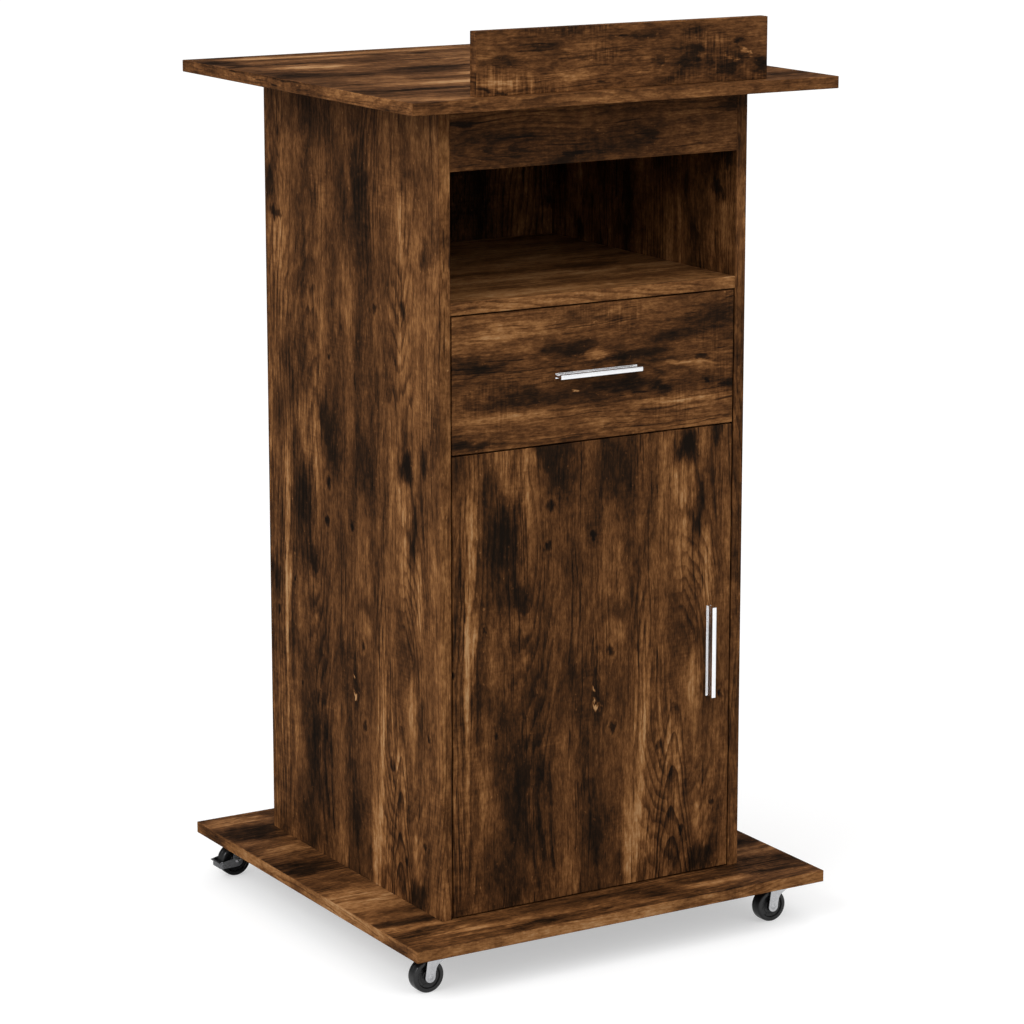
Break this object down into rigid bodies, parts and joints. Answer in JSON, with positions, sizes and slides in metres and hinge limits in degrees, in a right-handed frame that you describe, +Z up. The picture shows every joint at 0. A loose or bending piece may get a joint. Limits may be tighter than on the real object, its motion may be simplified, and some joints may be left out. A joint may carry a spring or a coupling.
{
  "type": "presentation lectern",
  "caption": "Rolling cabinet lectern with a flat top, a low stop board, an open compartment, a drawer and a hinged door, on swivel castors.",
  "frame": {"origin": "centre of the footprint on the floor", "axes": "+Z up, -Y towards the speaker (the side with the drawer and door), +X to the right of a speaker who looks at the audience"},
  "size_m": [0.6, 0.6, 1.164],
  "materials": {
    "smoked_oak": "satin decor foil, dark smoked oak print",
    "drawer_board": "matt dark brown foil",
    "bar_aluminium": "satin anodised",
    "slide_steel": "white epoxy",
    "nylon": "moulded",
    "wheel_plastic": "moulded black",
    "beech": "raw fluted beech",
    "cast_zinc": "die-cast",
    "zinc_steel": "bright zinc plated",
    "nickel_steel": "nickel plated"
  },
  "bodies": {
    "cabinet": {"back_panel": "smoked_oak", "base_plate": "smoked_oak", "base_screws": "zinc_steel", "cam_bolts": "cast_zinc", "cam_discs": "cast_zinc", "castor_balls": "zinc_steel", "castor_front_left_plate": "zinc_steel", "castor_front_right_plate": "zinc_steel", "castor_king_pins": "zinc_steel", "castor_plate_screws": "zinc_steel", "castor_rear_left_plate": "zinc_steel", "castor_rear_right_plate": "zinc_steel", "compartment_shelf": "smoked_oak", "cupboard_shelf": "smoked_oak", "drawer_divider": "smoked_oak", "fascia_rail": "smoked_oak", "hinge_arm_screws": "nickel_steel", "hinge_arms": "nickel_steel", "left_side_panel": "smoked_oak", "right_side_panel": "smoked_oak", "runner_cabinet_left": "slide_steel", "runner_cabinet_right": "slide_steel", "runner_screws": "zinc_steel", "shelf_pins": "zinc_steel", "stop_board": "smoked_oak", "stop_board_screws": "zinc_steel", "top_plate": "smoked_oak", "wood_dowels": "beech"},
    "drawer": {"drawer_front": "smoked_oak", "drawer_left_side": "drawer_board", "drawer_right_side": "drawer_board", "drawer_back": "drawer_board", "drawer_bottom": "drawer_board", "drawer_fittings": "cast_zinc", "drawer_handle": "bar_aluminium", "drawer_handle_screws": "zinc_steel", "runner_drawer_left": "slide_steel", "runner_drawer_right": "slide_steel"},
    "door": {"door_panel": "smoked_oak", "door_handle": "bar_aluminium", "door_handle_screws": "zinc_steel", "hinge_cups": "nickel_steel", "hinge_pins": "nickel_steel", "hinge_cup_screws": "nickel_steel"},
    "cabinet_rollers": {"cabinet_rollers": "nylon"},
    "drawer_rollers": {"drawer_rollers": "nylon"},
    "castor_front_left_fork": {"castor_front_left_fork": "zinc_steel", "castor_front_left_axle": "zinc_steel"},
    "castor_front_left_wheel": {"castor_front_left_wheel": "wheel_plastic"},
    "castor_front_right_fork": {"castor_front_right_fork": "zinc_steel", "castor_front_right_axle": "zinc_steel"},
    "castor_front_right_wheel": {"castor_front_right_wheel": "wheel_plastic"},
    "castor_rear_left_fork": {"castor_rear_left_fork": "zinc_steel", "castor_rear_left_axle": "zinc_steel"},
    "castor_rear_left_wheel": {"castor_rear_left_wheel": "wheel_plastic"},
    "castor_rear_left_brake": {"castor_rear_left_brake_lever": "zinc_steel"},
    "castor_rear_right_fork": {"castor_rear_right_fork": "zinc_steel", "castor_rear_right_axle": "zinc_steel"},
    "castor_rear_right_wheel": {"castor_rear_right_wheel": "wheel_plastic"},
    "castor_rear_right_brake": {"castor_rear_right_brake_lever": "zinc_steel"}
  },
  "joints": [
    {"name": "drawer_slide", "type": "slide", "parent": "cabinet", "child": "drawer", "axis": [0, -1, 0], "range_m": [0, 0.26]},
    {"name": "cabinet_roller_turn", "type": "hinge", "parent": "cabinet", "child": "cabinet_rollers", "pos_m": [0, -0.188, 0.6792], "axis": [1, 0, 0], "range_deg": [0, 1500]},
    {"name": "drawer_roller_turn", "type": "hinge", "parent": "drawer", "child": "drawer_rollers", "pos_m": [0, 0.132, 0.6765], "axis": [1, 0, 0], "range_deg": [0, 1500]},
    {"name": "door_hinge", "type": "hinge", "parent": "cabinet", "child": "door", "pos_m": [-0.19, -0.214, 0.36], "axis": [0, 0, -1], "range_deg": [0, 90]},
    {"name": "castor_front_left_swivel", "type": "hinge", "parent": "cabinet", "child": "castor_front_left_fork", "pos_m": [-0.254, -0.26, 0.049], "axis": [0, 0, 1], "continuous": true},
    {"name": "castor_front_left_roll", "type": "hinge", "parent": "castor_front_left_fork", "child": "castor_front_left_wheel", "pos_m": [-0.266, -0.26, 0.021], "axis": [0, 1, 0], "continuous": true},
    {"name": "castor_front_right_swivel", "type": "hinge", "parent": "cabinet", "child": "castor_front_right_fork", "pos_m": [0.254, -0.26, 0.049], "axis": [0, 0, 1], "continuous": true},
    {"name": "castor_front_right_roll", "type": "hinge", "parent": "castor_front_right_fork", "child": "castor_front_right_wheel", "pos_m": [0.242, -0.26, 0.021], "axis": [0, 1, 0], "continuous": true},
    {"name": "castor_rear_left_swivel", "type": "hinge", "parent": "cabinet", "child": "castor_rear_left_fork", "pos_m": [-0.254, 0.26, 0.049], "axis": [0, 0, 1], "continuous": true},
    {"name": "castor_rear_left_roll", "type": "hinge", "parent": "castor_rear_left_fork", "child": "castor_rear_left_wheel", "pos_m": [-0.266, 0.26, 0.021], "axis": [0, 1, 0], "continuous": true},
    {"name": "castor_rear_left_brake", "type": "hinge", "parent": "castor_rear_left_fork", "child": "castor_rear_left_brake", "pos_m": [-0.266, 0.26, 0.021], "axis": [0, 1, 0], "range_deg": [-15, 0]},
    {"name": "castor_rear_right_swivel", "type": "hinge", "parent": "cabinet", "child": "castor_rear_right_fork", "pos_m": [0.254, 0.26, 0.049], "axis": [0, 0, 1], "continuous": true},
    {"name": "castor_rear_right_roll", "type": "hinge", "parent": "castor_rear_right_fork", "child": "castor_rear_right_wheel", "pos_m": [0.242, 0.26, 0.021], "axis": [0, 1, 0], "continuous": true},
    {"name": "castor_rear_right_brake", "type": "hinge", "parent": "castor_rear_right_fork", "child": "castor_rear_right_brake", "pos_m": [0.242, 0.26, 0.021], "axis": [0, 1, 0], "range_deg": [-15, 0]}
  ],
  "couplings": [
    {"joint": "cabinet_roller_turn", "follows": "drawer_slide", "rad_per_m": 100},
    {"joint": "drawer_roller_turn", "follows": "drawer_slide", "rad_per_m": 100}
  ]
}
